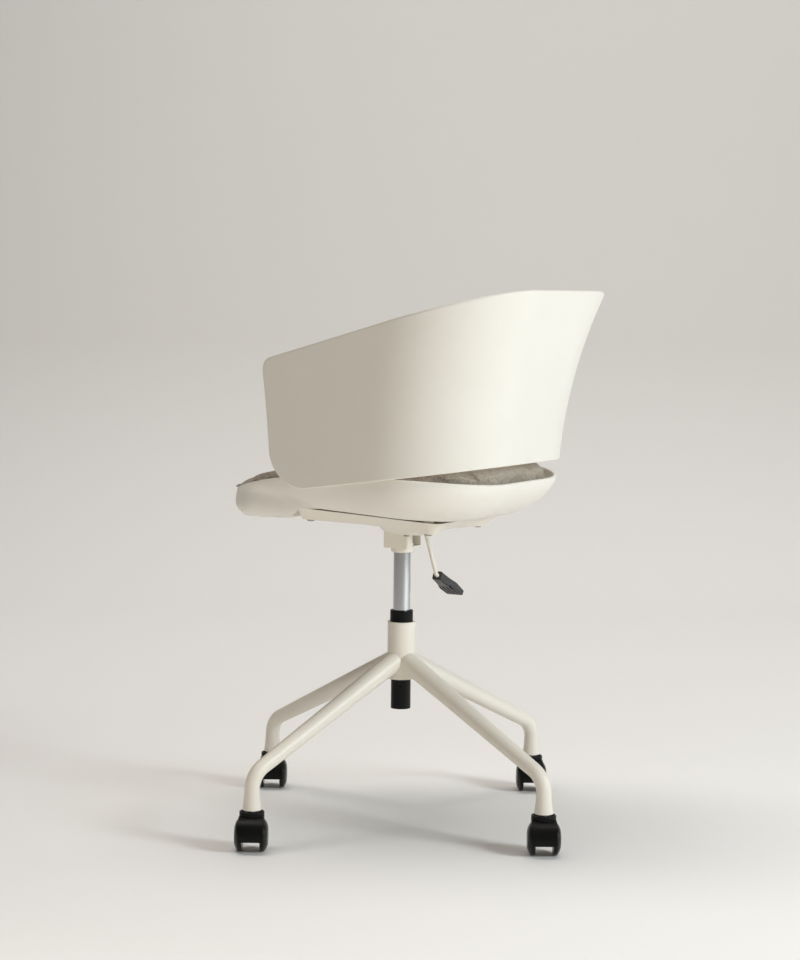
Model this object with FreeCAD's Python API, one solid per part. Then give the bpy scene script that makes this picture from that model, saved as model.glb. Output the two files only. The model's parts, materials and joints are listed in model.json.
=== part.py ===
"""Tub office chair: wrap-round back shell, dished seat, gas lift and four castored legs.

Millimetres, +Z up. The origin is on the floor under the column, the sitter faces -Y and
the sitter's left is +X.
"""
import FreeCAD, Part
import math
import os
from FreeCAD import Placement, Rotation, Vector

# Fits and clearances
RUN_FIT = 0.05
FACE_GAP = 0.2
SOFT_GAP = 0.4
SIDE_GAP = 1.0

# Leg frame
LEG_COUNT = 4
LEG_FIRST_ANGLE = -15.7
LEG_REACH = 320.0
LEG_SLOPE = 25.5
LEG_CORNER_HEIGHT = 116.0
LEG_BEND_RADIUS = 38.0
LEG_ROOT_DIA = 33.0
LEG_TIP_DIA = 24.0
LEG_WALL = 2.0
FOOT_DIA = 30.0
FOOT_HEIGHT = 62.0
FOOT_BELLY = 1.0
HUB_DIA = 45.0
HUB_HEIGHT = 94.0
HUB_BELOW_LEG = 25.5

# Castors
CASTOR_HEADING = 30.0
WHEEL_DIA = 50.0
WHEEL_WIDTH = 12.0
WHEEL_TREAD = 6.0
WHEEL_HUB_DIA = 16.0
WHEEL_FACE = 2.0
WHEEL_DOME_RADIUS = 18.5
WHEEL_DOME_WIDTH = 4.4
WHEEL_GAP = 28.0
CASTOR_TRAIL = 13.0
AXLE_DIA = 6.0
AXLE_END_GAP = 0.5
HOOD_WIDTH = 39.0
HOOD_SKIN = 2.4
HOOD_EDGE_HEIGHT = 19.0
CAP_DIA = 39.0
CAP_HEIGHT = 8.0
CAP_ROUND = 1.5
CAP_LIP = 3.5
CAP_RECESS = 2.5
STEM_DIA = 11.0
STEM_INSIDE_HOOD = 27.0
STEM_INSIDE_LEG = 26.0
STEM_HEAD_DIA = 13.5
STEM_HEAD_HEIGHT = 3.0
STEM_FLANGE_DIA = 19.0
STEM_FLANGE_HEIGHT = 2.0
SLEEVE_DIA = 20.0
SLEEVE_LENGTH = 28.0

# Gas lift
TAPER_ANGLE = 1.4378
OUTER_TUBE_DIA = 32.5
OUTER_TUBE_BORE = 29.6
OUTER_TUBE_BELOW_HUB = 49.5
OUTER_TUBE_NECK_DIA = 34.0
OUTER_TUBE_NECK = 11.0
BUSH_DIA = 37.5
BUSH_HEAD = 19.0
BUSH_ROUND = 1.2
BUSH_SLEEVE = 68.0
LIFT_STROKE = 85.0
CHROME_SHOWN = 95.5
CHROME_DIA = 28.0
CHROME_BORE = 23.0
LIFT_RESERVE = 3.5
ROD_DIA = 10.0
ROD_GUIDE_HEIGHT = 12.0
PISTON_HEIGHT = 8.0
END_PLATE_HEIGHT = 4.0
END_PLATE_RECESS = 4.0
CLIP_HEIGHT = 1.5
CLIP_DIA = 17.0
CLIP_GROOVE = 1.0
RACE_DIA = 26.0
RACE_HEIGHT = 1.5
BALL_DIA = 3.4
BALL_COUNT = 8
SHOULDER_DIA = 18.0
SHOULDER_HEIGHT = 4.0
BUMPER_DIA = 22.0
BUMPER_HEIGHT = 10.0
VALVE_PIN_DIA = 8.0
VALVE_GAP = 0.3
VALVE_STROKE = 4.0
VALVE_BLOCK_HEIGHT = 14.0

# Swivel bracket and lever
SOCKET_DIA = 37.0
SOCKET_DROP = 8.0
SOCKET_ROUND = 2.0
BRACKET_SIZE = 46.0
BRACKET_HEIGHT = 26.0
BRACKET_SHEET = 3.0
BRACKET_FLANGE = 16.0
LEVER_DIA = 7.0
LEVER_BELOW_TOP = 9.0
LEVER_PIVOT_X = -14.0
LEVER_PIVOT_DIA = 3.0
LEVER_TONGUE = 7.0
LEVER_REACH = 77.8
LEVER_DROP_ANGLE = 63.4
LEVER_DROP = 83.0
LEVER_BEND_RADIUS = 15.0
LEVER_SLOT_HEIGHT = 13.0
EAR_SIDE_GAP = 0.7
EAR_SHEET = 3.0
EAR_LENGTH = 11.0
EAR_HEIGHT = 11.0
PADDLE_ANGLE = 29.0
PADDLE_LENGTH = 90.0
PADDLE_NECK_WIDTH = 17.0
PADDLE_NECK_THICK = 15.0
PADDLE_WAIST_AT = 27.0
PADDLE_WAIST_WIDTH = 19.5
PADDLE_PALM_AT = 56.0
PADDLE_PALM_THICK = 13.5
PADDLE_TIP_WIDTH = 32.0
PADDLE_TIP_THICK = 10.0
PADDLE_SOCKET = 26.0
PADDLE_GROOVES = 4
PADDLE_GROOVE_PITCH = 7.0
PADDLE_GROOVE_WIDTH = 3.4
PADDLE_GROOVE_DEPTH = 4.5
PADDLE_GROOVE_START = 38.0
PADDLE_GROOVE_END = 6.0
PADDLE_ROUND = 3.0

# Seat plate
SEAT_TILT = 2.7
PLATE_SHEET = 2.5
PLATE_HALF_WIDTH = 108.0
PLATE_FRONT = 150.0
PLATE_BACK = 124.0
PLATE_CORNER = 20.0
PLATE_RIM = 19.5
PLATE_DRAFT = 11.0
PLATE_WALL_SET = 1.6
PLATE_RIM_WAIST = 1.0
PLATE_SIDE_WAIST = 28.0
PLATE_REAR_WAIST = 30.0
PLATE_WAIST_RADIUS = 90.0
DISH_DEPTH = 13.5
DISH_CENTRE = 12.0
DISH_BOTTOM_RADIUS = 41.5
DISH_TOP_RADIUS = 60.0
STIFFENER_THICK = 4.0
STIFFENER_BOLT_X = 29.0
STIFFENER_BOLT_Y = 25.0
STIFFENER_BOLT_DIA = 5.0
STIFFENER_BOLT_HEAD_DIA = 10.0
STIFFENER_BOLT_HEAD = 3.0
STIFFENER_BOLT_SOCKET = 3.0
STIFFENER_BOLT_SOCKET_DEPTH = 1.8
SCREW_SIDE = 82.0
SCREW_FRONT = 126.0
SCREW_BACK = 94.0
SCREW_DIA = 6.0
SCREW_HEAD_DIA = 13.0
SCREW_HEAD = 3.4
SCREW_HEAD_ROUND = 2.0
SCREW_SOCKET = 4.0
SCREW_SOCKET_DEPTH = 2.2
INSERT_DIA = 8.6
INSERT_LENGTH = 13.0
BOSS_DIA = 16.0

# Seat shell
DECK_GAP = 2.0
SEAT_HALF_WIDTH = 216.6
SEAT_BACK = 228.5
SEAT_FRONT = 238.0
SEAT_BACK_CORNER = 150.0
SEAT_FRONT_CORNER = 120.0
SEAT_WALL = 5.0
SEAT_RIM_ROUND = 1.8
REAR_INSET = 85.0
REAR_BELLY = 66.0
REAR_LEVEL = 58.0
REAR_POWER = 1.5
NOSE_INSET = 55.0
NOSE_BELLY = 36.0
NOSE_LEVEL = 26.0
NOSE_POWER = 2.4
BOWL_LEVELS = (-11.0, -8.0, -4.0, 2.0, 10.0, 22.0, 36.0, 50.0, 64.0, 78.0, 92.0)
RIM_RUNOUT = 24.0
RIM_FRONT = 33.0
RIM_FRONT_SETBACK = 13.0
RIM_FRONT_FALL = 14.0
RIM_CORNER = 43.5
RIM_CORNER_Y = -190.0
RIM_ARM = 63.0
RIM_ARM_Y = -95.0
RIM_SIDE = 68.5
RIM_REAR = 67.0
RIM_REAR_Y = 146.0
RIM_BACK = 58.0
RIM_BACK_FALL = 4.0
LIP_DROP = 8.5
LIP_DEPTH = 92.0
LIP_RAMP = 18.0
LIP_ROUND = 5.0
UNDERSIDE_FRONT = 14.2
UNDERSIDE_MIDDLE = 9.5
UNDERSIDE_MIDDLE_Y = 60.0
UNDERSIDE_FALL = 0.11
UNDERSIDE_ROUND = 300.0
POCKET_GAP = 5.0
RIB_HEIGHT = 17.0
RIB_THICK = 3.0
RIB_PITCH = 80.0
RIBS_EACH_SIDE = 1

# Cushion
BOARD_THICK = 8.0
BOARD_GAP = 4.0
BOARD_FRONT_GAP = 42.0
PAD_GAP = 3.0
PAD_RISE_FRONT = 17.0
PAD_RISE_BACK = 15.0
PAD_CROWN = 10.0
PAD_EDGE_ROUND = 6.0
LEVEL_ENOUGH = 0.7
CUSHION_SCREW_X = 150.0
CUSHION_SCREW_Y = -139.0
CUSHION_SCREW_DIA = 5.0
CUSHION_SCREW_HEAD_DIA = 10.0
CUSHION_SCREW_HEAD = 3.0
CUSHION_SCREW_SOCKET = 3.0
CUSHION_SCREW_SOCKET_DEPTH = 1.8
CUSHION_SCREW_LEVEL = 6.0
CUSHION_SCREW_RECESS_DIA = 15.0
CUSHION_SCREW_BOSS_DIA = 21.0
CUSHION_SCREW_BITE = 6.0

# Back shell
BACK_WALL = 6.0
BACK_SEAT_GAP = 1.8
BACK_CORNER = 160.0
BACK_DEPTH = 234.0
BACK_FLARE_SIDE = 37.0
BACK_FLARE_REAR = 57.0
BACK_FLARE_LEVEL = 92.0
BACK_FLARE_HEIGHT = 260.0
BACK_FLARE_LEAN = 0.306
BACK_FRONT_EDGE = 119.5
BACK_FRONT_RAKE = 0.0354
BACK_ARM_TOP = 247.5
BACK_TOP_SLOPE = 0.2744
BACK_BOTTOM_AT_AXIS = 53.8
BACK_BOTTOM_SLOPE = 0.144
BACK_TOP_FRONT_ROUND = 22.0
BACK_BOTTOM_FRONT_ROUND = 62.0
BACK_EDGE_ROUND = 2.4
BACK_LOFT_BELOW = 72.0
BACK_LOFT_ABOVE = 48.0
BACK_LOFT_STEPS = 6
BACK_SCREW_DIA = 4.0
BACK_SCREW_HEAD_DIA = 8.0
BACK_SCREW_HEAD = 2.0
BACK_SCREW_BITE = 4.4
BACK_SCREW_PLACES = ((-52.0, 59.0), (-12.0, 61.0))

# Heights that stack up from the floor
leg_root_height = LEG_CORNER_HEIGHT + (LEG_REACH - HUB_DIA / 2) * math.tan(math.radians(LEG_SLOPE))
hub_bottom = leg_root_height - HUB_BELOW_LEG
hub_top = hub_bottom + HUB_HEIGHT
tube_bottom = hub_bottom - OUTER_TUBE_BELOW_HUB
bush_top = hub_top + BUSH_HEAD
socket_bottom = bush_top + CHROME_SHOWN
bracket_bottom = socket_bottom + SOCKET_DROP
bracket_top = bracket_bottom + BRACKET_HEIGHT
plate_floor = bracket_top + DISH_DEPTH
deck = plate_floor + PLATE_RIM + DECK_GAP
lever_height = bracket_top - LEVER_BELOW_TOP
valve_top = lever_height - LEVER_DIA / 2 - VALVE_GAP
chrome_top = valve_top - VALVE_STROKE - SIDE_GAP
end_plate_low = tube_bottom + END_PLATE_RECESS
bearing_low = end_plate_low + END_PLATE_HEIGHT
bearing_high = bearing_low + 2 * RACE_HEIGHT + BALL_DIA + 2 * RUN_FIT
shoulder_low = bearing_high + RUN_FIT
bumper_low = shoulder_low + SHOULDER_HEIGHT
chrome_bottom = bumper_low + BUMPER_HEIGHT + LIFT_STROKE + LIFT_RESERVE
piston_low = chrome_bottom + ROD_GUIDE_HEIGHT + SIDE_GAP
taper = math.tan(math.radians(TAPER_ANGLE))
tilt_slope = math.tan(math.radians(SEAT_TILT))
paddle_offset = LEVER_BEND_RADIUS * math.tan(math.radians(LEVER_DROP_ANGLE - PADDLE_ANGLE) / 2)

X_AXIS = Vector(1, 0, 0)
Y_AXIS = Vector(0, 1, 0)
Z_AXIS = Vector(0, 0, 1)
HUGE = 1000.0
PICK = 0.1
TINY = 1e-6


def save(name, shape):
    """Write one sub-part."""
    shape.exportStep("parts/" + name + ".step")


def cylinder(diameter, low, high, x=0.0, y=0.0):
    """An upright cylinder between two heights."""
    return Part.makeCylinder(diameter / 2, high - low, Vector(x, y, low))


def ring(outer, inner, low, high):
    """An upright ring on the column's axis between two heights."""
    return cylinder(outer, low, high).cut(cylinder(inner, low, high))


def box(low, high):
    """A box between two corners."""
    return Part.makeBox(high[0] - low[0], high[1] - low[1], high[2] - low[2], Vector(*low))


def hexagon(across_flats, height, place):
    """An upright hexagonal prism on a place."""
    radius = across_flats / math.sqrt(3)
    turns = [math.pi / 3 * i for i in range(7)]
    corners = [place + Vector(radius * math.cos(turn), radius * math.sin(turn), 0) for turn in turns]
    return Part.Face(Part.makePolygon(corners)).extrude(Vector(0, 0, height))


def rounded_wire(points, radii, closed=True):
    """A wire of straight runs whose corners are arcs of the given radii (0 is a sharp corner)."""
    count = len(points)
    starts = list(points)
    ends = list(points)
    arcs = [None] * count
    for i in range(count):
        if radii[i] <= 0:
            continue
        before = (points[i - 1] - points[i]).normalize()
        after = (points[(i + 1) % count] - points[i]).normalize()
        half = before.getAngle(after) / 2
        run = radii[i] / math.tan(half)
        starts[i] = points[i] + before * run
        ends[i] = points[i] + after * run
        middle = (before + after).normalize() * (radii[i] / math.sin(half) - radii[i])
        arcs[i] = Part.Arc(starts[i], points[i] + middle, ends[i]).toShape()
    edges = []
    for i in range(count):
        if arcs[i]:
            edges.append(arcs[i])
        if closed or i < count - 1:
            following = starts[(i + 1) % count]
            if (following - ends[i]).Length > TINY:
                edges.append(Part.LineSegment(ends[i], following).toShape())
    return Part.Wire(edges)


def side_slab(points, radii, half_width=HUGE):
    """Extrude an outline of (y, z) points sideways, the same distance to both sides."""
    wire = rounded_wire([Vector(-half_width, y, z) for y, z in points], radii)
    return Part.Face(wire).extrude(Vector(2 * half_width, 0, 0))


def side_region(curve, low, high):
    """Extrude the region under a (y, z) curve, between a bottom and the curve."""
    spline = Part.BSplineCurve()
    spline.interpolate([Vector(-HUGE, y, z) for y, z in curve])
    first = Vector(-HUGE, curve[0][0], low)
    last = Vector(-HUGE, curve[-1][0], low)
    start = Vector(-HUGE, *curve[0])
    end = Vector(-HUGE, *curve[-1])
    edges = [Part.LineSegment(first, start).toShape(), spline.toShape()]
    edges += [Part.LineSegment(end, last).toShape(), Part.LineSegment(last, first).toShape()]
    region = Part.Face(Part.Wire(edges)).extrude(Vector(2 * HUGE, 0, 0))
    return region.common(box((-HUGE, -HUGE, low), (HUGE, HUGE, high)))


def tilted(shape):
    """Lean a shape, made level on the bracket's top, to the seat's tilt."""
    leaned = shape.copy()
    leaned.rotate(Vector(0, 0, bracket_top), X_AXIS, -SEAT_TILT)
    return leaned


def around_column(shape, angle):
    """A copy turned about the column's axis."""
    copy = shape.copy()
    copy.rotate(Vector(0, 0, 0), Z_AXIS, angle)
    return copy


def rounded_rim(shell, rim, radius):
    """Round the edges where a shell's skins meet the faces of its rim."""
    rim = list(rim)
    edges = []
    for edge in shell.Edges:
        owners = [face for face in rim if any(edge.isSame(other) for other in face.Edges)]
        if len(owners) == 1:
            edges.append(edge)
    return shell.makeFillet(radius, edges)


# Leg frame

def leg_skin(shrink):
    """The bent, tapered leg along +X, with its skin moved in by shrink."""
    slope = math.radians(LEG_SLOPE)
    tangent = LEG_BEND_RADIUS * math.tan((math.pi / 2 - slope) / 2)
    bend_x = LEG_REACH - tangent * math.cos(slope)
    bend_z = LEG_CORNER_HEIGHT + tangent * math.sin(slope)
    start = Vector(HUB_DIA / 4, 0, leg_root_height + HUB_DIA / 4 * math.tan(slope))
    bend = Vector(bend_x, 0, bend_z)
    along = bend - start
    root = LEG_ROOT_DIA / 2 - shrink
    tip = LEG_TIP_DIA / 2 - shrink
    straight = Part.makeCone(root, tip, along.Length, start, along.normalize())
    circle = Part.Wire(Part.makeCircle(tip, bend, along))
    turn = Part.Face(circle)
    hinge = Vector(LEG_REACH - LEG_BEND_RADIUS, 0, LEG_CORNER_HEIGHT - tangent)
    elbow = turn.revolve(hinge, Y_AXIS, 90 - LEG_SLOPE)
    return straight.fuse(elbow), LEG_CORNER_HEIGHT - tangent


def foot(top):
    """The flared foot, bored for the stem's sleeve, on the leg's end."""
    tip = LEG_TIP_DIA / 2
    flare = FOOT_DIA / 2
    middle = (top + FOOT_HEIGHT) / 2
    corners = [Vector(flare, 0, FOOT_HEIGHT), Vector(0, 0, FOOT_HEIGHT),
               Vector(0, 0, top), Vector(tip, 0, top)]
    curve = Part.Arc(corners[3], Vector(tip + FOOT_BELLY, 0, middle), corners[0])
    edges = [curve.toShape()]
    for first, second in zip(corners, corners[1:]):
        edges.append(Part.LineSegment(first, second).toShape())
    body = Part.Face(Part.Wire(edges)).revolve(Vector(0, 0, 0), Z_AXIS, 360)
    body.translate(Vector(LEG_REACH, 0, 0))
    return body


def make_leg():
    """A hollow leg along +X, mitred against its neighbours and cut to the hub."""
    outside, foot_top = leg_skin(0)
    inside, foot_top = leg_skin(LEG_WALL)
    leg = outside.fuse(foot(foot_top)).removeSplitter()
    leg = leg.cut(inside)
    leg = leg.cut(cylinder(SLEEVE_DIA, FOOT_HEIGHT, foot_top, LEG_REACH))
    leg = leg.cut(cylinder(HUB_DIA, 0, HUGE))
    apex = Vector(0, 0, 0)
    wedge = Part.makePolygon([apex, Vector(HUGE, -HUGE, 0), Vector(HUGE, HUGE, 0), apex])
    return leg.common(Part.Face(wedge).extrude(Vector(0, 0, HUGE)))


def taper_body(low, high, diameter, trend):
    """A self-holding cone from its lower diameter, that widens (trend 1) or narrows (-1) upwards."""
    change = trend * taper * (high - low)
    return Part.makeCone(diameter / 2, diameter / 2 + change, high - low, Vector(0, 0, low))


def make_hub():
    """The hub tube with its taper seat for the lift's outer tube."""
    hub = cylinder(HUB_DIA, hub_bottom, hub_top)
    return hub.cut(taper_body(hub_bottom, hub_top, OUTER_TUBE_DIA, 1))


def make_sleeve():
    """The stem's socket in a leg's foot."""
    sleeve = cylinder(SLEEVE_DIA, FOOT_HEIGHT, FOOT_HEIGHT + SLEEVE_LENGTH, LEG_REACH)
    return sleeve.cut(cylinder(STEM_DIA, FOOT_HEIGHT, FOOT_HEIGHT + SLEEVE_LENGTH, LEG_REACH))


# Castors, made about the stem's axis with the trail along +X

hood_top = FOOT_HEIGHT - STEM_FLANGE_HEIGHT - FACE_GAP
axle_height = WHEEL_DIA / 2
stem_bottom = hood_top - STEM_INSIDE_HOOD


def across(radius, half_width):
    """A cylinder along the axle, centred between the wheels."""
    return Part.makeCylinder(radius, 2 * half_width, Vector(CASTOR_TRAIL, -half_width, axle_height), Y_AXIS)


def make_stem():
    """The steel stem: a flange under the foot and a head that keeps the hood on."""
    stem = cylinder(STEM_DIA, stem_bottom, FOOT_HEIGHT + STEM_INSIDE_LEG)
    stem = stem.fuse(cylinder(STEM_FLANGE_DIA, FOOT_HEIGHT - STEM_FLANGE_HEIGHT, FOOT_HEIGHT))
    return stem.fuse(cylinder(STEM_HEAD_DIA, stem_bottom - STEM_HEAD_HEIGHT, stem_bottom)).removeSplitter()


def make_hood():
    """The hood: a web between the wheels, mudguards over them and a round cap on the stem."""
    web_half = WHEEL_GAP / 2 - SIDE_GAP
    outer = WHEEL_DIA / 2 + SIDE_GAP + HOOD_SKIN
    web = across(outer, web_half)
    guard = across(outer, HOOD_WIDTH / 2).cut(across(outer - HOOD_SKIN, HOOD_WIDTH / 2))
    keep = box((-HUGE, -HUGE, HOOD_EDGE_HEIGHT), (HUGE, HUGE, HUGE))
    cap = cylinder(CAP_DIA, hood_top - CAP_HEIGHT, hood_top)
    cap = cap.makeFillet(CAP_ROUND, [edge for edge in cap.Edges if edge.BoundBox.ZMin > hood_top - PICK])
    skirt = cylinder(CAP_DIA, axle_height, hood_top - CAP_HEIGHT)
    skirt = skirt.cut(across(outer - HOOD_SKIN, HUGE))
    skirt = skirt.cut(box((CASTOR_TRAIL, -HUGE, 0), (HUGE, HUGE, HUGE)))
    hood = web.fuse([guard, skirt]).common(keep).fuse(cap).removeSplitter()
    hood = hood.cut(cylinder(CAP_DIA - 2 * CAP_LIP, hood_top - CAP_RECESS, hood_top))
    hood = hood.cut(cylinder(STEM_DIA + 2 * RUN_FIT, 0, HUGE))
    hood = hood.cut(cylinder(STEM_HEAD_DIA + 2 * SIDE_GAP, 0, stem_bottom + FACE_GAP))
    return hood.cut(across(AXLE_DIA / 2, HUGE))


def wheel_profile():
    """Half section of a wheel: flat tread inside, then a domed outer face."""
    inner = WHEEL_GAP / 2
    outer = inner + WHEEL_WIDTH
    tread_end = inner + WHEEL_TREAD
    radius = WHEEL_DIA / 2
    hub = WHEEL_HUB_DIA / 2
    bore = AXLE_DIA / 2 + RUN_FIT
    bore_end = outer - WHEEL_FACE
    shoulder = Vector(WHEEL_DOME_RADIUS, 0, tread_end + WHEEL_DOME_WIDTH)
    dome = Part.Arc(Vector(radius, 0, tread_end), shoulder, Vector(hub, 0, outer)).toShape()
    outline = [(hub, outer), (0, outer), (0, bore_end), (bore, bore_end), (bore, inner), (radius, inner),
               (radius, tread_end)]
    corners = [Vector(r, 0, z) for r, z in outline]
    edges = [dome]
    for first, second in zip(corners, corners[1:]):
        edges.append(Part.LineSegment(first, second).toShape())
    return Part.Face(Part.Wire(edges))


def make_wheel(side):
    """One of the twin wheels, on the axle's + or - end."""
    wheel = wheel_profile().revolve(Vector(0, 0, 0), Z_AXIS, 360)
    wheel.rotate(Vector(0, 0, 0), X_AXIS, -90 * side)
    wheel.translate(Vector(CASTOR_TRAIL, 0, axle_height))
    return wheel


def make_axle():
    """The axle pin, which ends inside both wheels."""
    return across(AXLE_DIA / 2, WHEEL_GAP / 2 + WHEEL_WIDTH - WHEEL_FACE - AXLE_END_GAP)


def castor_placed(shape, index):
    """A castor piece headed and moved to its leg."""
    angle = math.radians(LEG_FIRST_ANGLE + 360 / LEG_COUNT * index)
    placed = around_column(shape, CASTOR_HEADING)
    placed.translate(Vector(LEG_REACH * math.cos(angle), LEG_REACH * math.sin(angle), 0))
    return placed


# Gas lift

def make_outer_tube():
    """The lift's outer tube: taper in the hub, neck above it, end plate recessed in its foot."""
    tube = cylinder(OUTER_TUBE_DIA, tube_bottom, hub_bottom)
    tube = tube.fuse(taper_body(hub_bottom, hub_top, OUTER_TUBE_DIA, 1))
    tube = tube.fuse(cylinder(OUTER_TUBE_NECK_DIA, hub_top, hub_top + OUTER_TUBE_NECK))
    tube = tube.cut(cylinder(OUTER_TUBE_BORE, tube_bottom, bush_top))
    plate = ring(OUTER_TUBE_BORE, ROD_DIA + 2 * RUN_FIT, end_plate_low, bearing_low)
    return tube.fuse(plate).removeSplitter()


def make_bush():
    """The guide bush: a collar over the tube's neck and a thin sleeve down its bore."""
    neck_top = hub_top + OUTER_TUBE_NECK
    collar = ring(BUSH_DIA, OUTER_TUBE_NECK_DIA, hub_top, neck_top)
    cap = cylinder(BUSH_DIA, neck_top, bush_top)
    top_edges = [edge for edge in cap.Edges if edge.BoundBox.ZMin > bush_top - PICK]
    cap = cap.makeFillet(BUSH_ROUND, top_edges)
    sleeve = cylinder(OUTER_TUBE_BORE, neck_top - BUSH_SLEEVE, neck_top)
    bush = collar.fuse([cap, sleeve]).removeSplitter()
    return bush.cut(cylinder(CHROME_DIA + 2 * RUN_FIT, 0, HUGE))


def make_chrome_tube():
    """The sliding pressure tube with its top taper and the valve block's bore."""
    low_of_block = chrome_top - VALVE_BLOCK_HEIGHT
    tube = cylinder(CHROME_DIA, chrome_bottom, socket_bottom)
    tube = tube.fuse(taper_body(socket_bottom, chrome_top, CHROME_DIA, -1))
    tube = tube.cut(cylinder(CHROME_BORE, chrome_bottom, low_of_block))
    return tube.cut(cylinder(VALVE_PIN_DIA + 2 * RUN_FIT, low_of_block, chrome_top))


def make_rod_guide():
    """The guide and seal that closes the pressure tube round the piston rod."""
    return ring(CHROME_BORE, ROD_DIA + 2 * RUN_FIT, chrome_bottom, chrome_bottom + ROD_GUIDE_HEIGHT)


def make_piston_rod():
    """The rod, with the shoulder that turns on the thrust bearing and a clip groove."""
    clip_top = end_plate_low - FACE_GAP
    rod = cylinder(ROD_DIA, tube_bottom + CLIP_GROOVE, piston_low)
    rod = rod.fuse(cylinder(SHOULDER_DIA, shoulder_low, bumper_low)).removeSplitter()
    groove = ring(ROD_DIA, ROD_DIA - 2 * CLIP_GROOVE, clip_top - CLIP_HEIGHT, clip_top)
    return rod.cut(groove)


def make_rod_clip():
    """The spring clip under the end plate."""
    clip_top = end_plate_low - FACE_GAP
    clip = ring(CLIP_DIA, ROD_DIA - 2 * CLIP_GROOVE, clip_top - CLIP_HEIGHT, clip_top)
    mouth = box((0, -ROD_DIA / 4, 0), (CLIP_DIA, ROD_DIA / 4, HUGE))
    return clip.cut(mouth)


def make_piston():
    """The piston on the rod's top end."""
    return cylinder(CHROME_BORE - 2 * RUN_FIT, piston_low, piston_low + PISTON_HEIGHT)


def make_thrust_bearing():
    """Two races with a circle of balls between them."""
    bore = ROD_DIA + 2 * RUN_FIT
    low = ring(RACE_DIA, bore, bearing_low, bearing_low + RACE_HEIGHT)
    high = ring(RACE_DIA, bore, bearing_high - RACE_HEIGHT, bearing_high)
    pitch = (RACE_DIA + ROD_DIA) / 4
    level = (bearing_low + bearing_high) / 2
    balls = []
    for i in range(BALL_COUNT):
        angle = 2 * math.pi * i / BALL_COUNT
        centre = Vector(pitch * math.cos(angle), pitch * math.sin(angle), level)
        balls.append(Part.makeSphere(BALL_DIA / 2, centre))
    return Part.makeCompound([low, high] + balls)


def make_bumper():
    """The rubber ring that ends the downward stroke."""
    return ring(BUMPER_DIA, ROD_DIA, bumper_low, bumper_low + BUMPER_HEIGHT)


def make_valve_pin():
    """The release pin in the pressure tube's top."""
    return cylinder(VALVE_PIN_DIA, chrome_top - VALVE_BLOCK_HEIGHT, valve_top)


# Swivel bracket and lever

def make_socket():
    """The taper socket that drops onto the pressure tube."""
    socket_top = chrome_top - SIDE_GAP
    cone = taper_body(socket_bottom, chrome_top, CHROME_DIA, -1)
    socket = cylinder(SOCKET_DIA, socket_bottom, socket_top)
    bottom_edge = [edge for edge in socket.Edges if edge.BoundBox.ZMax < socket_bottom + PICK]
    return socket.makeFillet(SOCKET_ROUND, bottom_edge).cut(cone)


def across_pivot(radius, half_width):
    """A cylinder on the lever's pivot axis."""
    start = Vector(LEVER_PIVOT_X, -half_width, lever_height)
    return Part.makeCylinder(radius, 2 * half_width, start, Y_AXIS)


def make_bracket():
    """Folded sheet box: two side walls, part-closed ends, a floor and the lever's pivot ears."""
    half = BRACKET_SIZE / 2
    inner = half - BRACKET_SHEET
    room = bracket_top + BRACKET_SIZE
    shell = box((-half, -half, bracket_bottom), (half, half, room))
    upright = [edge for edge in shell.Edges if edge.BoundBox.ZLength > BRACKET_SIZE]
    shell = shell.makeFillet(BRACKET_SHEET, upright)
    cavity = box((-inner, -inner, bracket_bottom + BRACKET_SHEET), (inner, inner, room))
    end_gap = box((-inner, -half, bracket_bottom + BRACKET_SHEET), (half - BRACKET_FLANGE, half, room))
    ears = []
    ear_inner = LEVER_DIA / 2 + EAR_SIDE_GAP
    for side in (-1, 1):
        low = min(side * ear_inner, side * (ear_inner + EAR_SHEET))
        ears.append(box((-inner, low, lever_height - EAR_HEIGHT / 2),
                        (-inner + EAR_LENGTH, low + EAR_SHEET, lever_height + EAR_HEIGHT / 2)))
    slot = box((-half, -ear_inner, lever_height - LEVER_SLOT_HEIGHT / 2),
               (-inner, ear_inner, lever_height + LEVER_SLOT_HEIGHT / 2))
    bracket = shell.cut([cavity, end_gap, slot]).fuse(ears).removeSplitter()
    pivot = across_pivot(LEVER_PIVOT_DIA / 2, half)
    above = tilted(box((-HUGE, -HUGE, bracket_top), (HUGE, HUGE, HUGE)))
    return bracket.cut([pivot, above, cylinder(SOCKET_DIA, 0, chrome_top)])


def make_lever_pin():
    """The pin that the lever rocks on, across the bracket's ears."""
    reach = LEVER_DIA / 2 + EAR_SIDE_GAP + EAR_SHEET
    return across_pivot(LEVER_PIVOT_DIA / 2, reach)


def lever_corners():
    """The lever rod's corner points, from the tongue over the valve to its end in the paddle."""
    drop = math.radians(LEVER_DROP_ANGLE)
    grip = math.radians(PADDLE_ANGLE)
    knee = Vector(-LEVER_REACH, 0, lever_height)
    wrist = knee + Vector(-math.cos(drop), 0, -math.sin(drop)) * LEVER_DROP
    end = wrist + Vector(-math.cos(grip), 0, -math.sin(grip)) * (PADDLE_SOCKET + paddle_offset)
    return [Vector(LEVER_TONGUE, 0, lever_height), knee, wrist, end]


def make_lever_rod():
    """The bent release rod, drilled for its pivot pin."""
    path = rounded_wire(lever_corners(), [0, LEVER_BEND_RADIUS, LEVER_BEND_RADIUS, 0], closed=False)
    start = lever_corners()[0]
    rod = path.makePipeShell([Part.Wire(Part.makeCircle(LEVER_DIA / 2, start, X_AXIS))], True, False)
    return rod.cut(across_pivot(LEVER_PIVOT_DIA / 2 + RUN_FIT, BRACKET_SIZE))


def paddle_section(station, width, thick):
    """A rounded rectangle across the paddle's length."""
    half_w = width / 2
    half_t = thick / 2
    corners = [Vector(station, half_w, half_t), Vector(station, -half_w, half_t),
               Vector(station, -half_w, -half_t), Vector(station, half_w, -half_t)]
    return rounded_wire(corners, [PADDLE_ROUND] * 4)


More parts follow.
